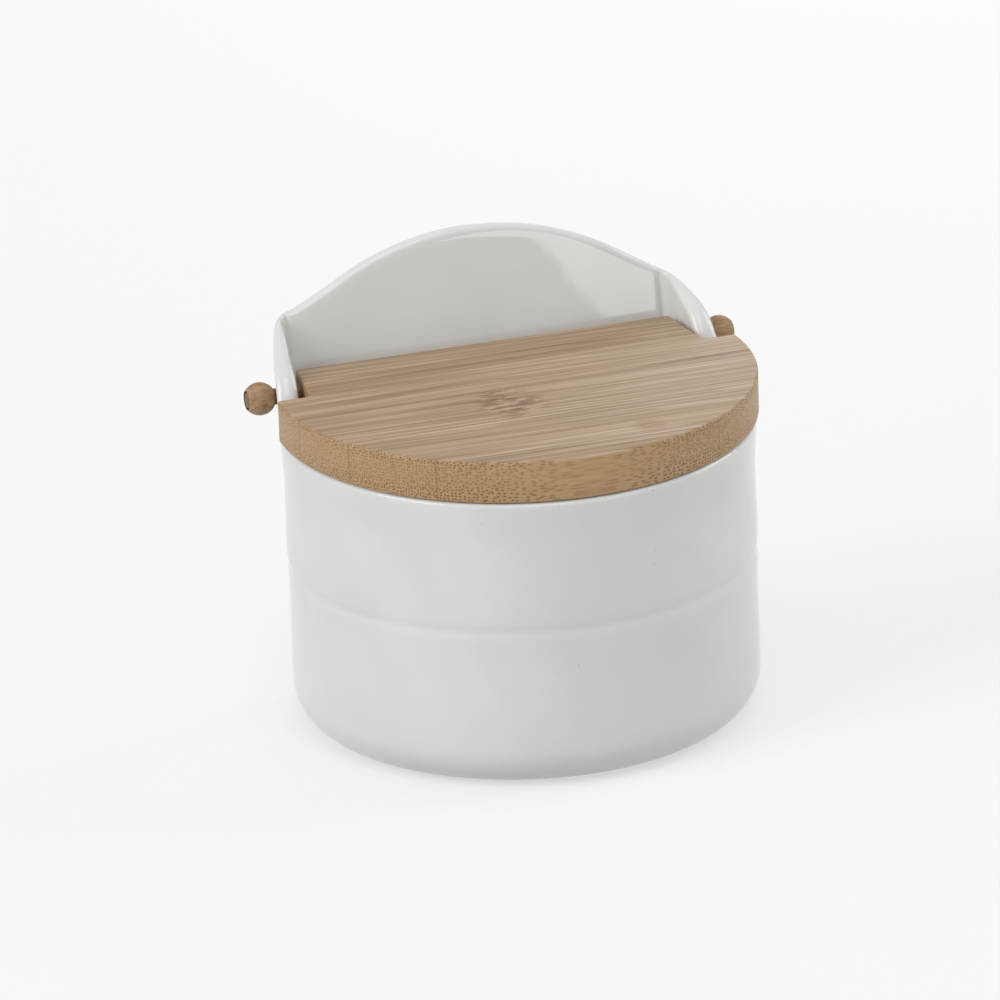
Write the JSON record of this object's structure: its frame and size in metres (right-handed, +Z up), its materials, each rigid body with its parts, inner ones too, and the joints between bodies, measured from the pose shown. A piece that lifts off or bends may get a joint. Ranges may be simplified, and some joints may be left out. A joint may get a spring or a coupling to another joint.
{
  "type": "salt jar",
  "caption": "Glazed ceramic salt jar with a round front, a flat arched back plate and a bamboo lid that tips up on wooden hinge dowels held by ears at the rim.",
  "frame": {"origin": "on the flat base, under the axis of the round wall", "axes": "+X along the hinge to the jar's right seen from the front, +Y towards the flat back, +Z up"},
  "size_m": [0.142, 0.1093, 0.1285],
  "materials": {
    "glaze": "gloss",
    "bamboo": "satin",
    "dowel_wood": "satin",
    "bead_wood": "satin"
  },
  "bodies": {
    "jar": {"jar_body": "glaze"},
    "lid": {"lid_board": "bamboo", "left_hinge_dowel": "dowel_wood", "right_hinge_dowel": "dowel_wood", "left_knob": "bead_wood", "right_knob": "bead_wood"}
  },
  "joints": [
    {"name": "lid_hinge", "type": "hinge", "parent": "jar", "child": "lid", "pos_m": [0, 0.0228, 0.093], "axis": [-1, 0, 0], "range_deg": [0, 95]}
  ]
}
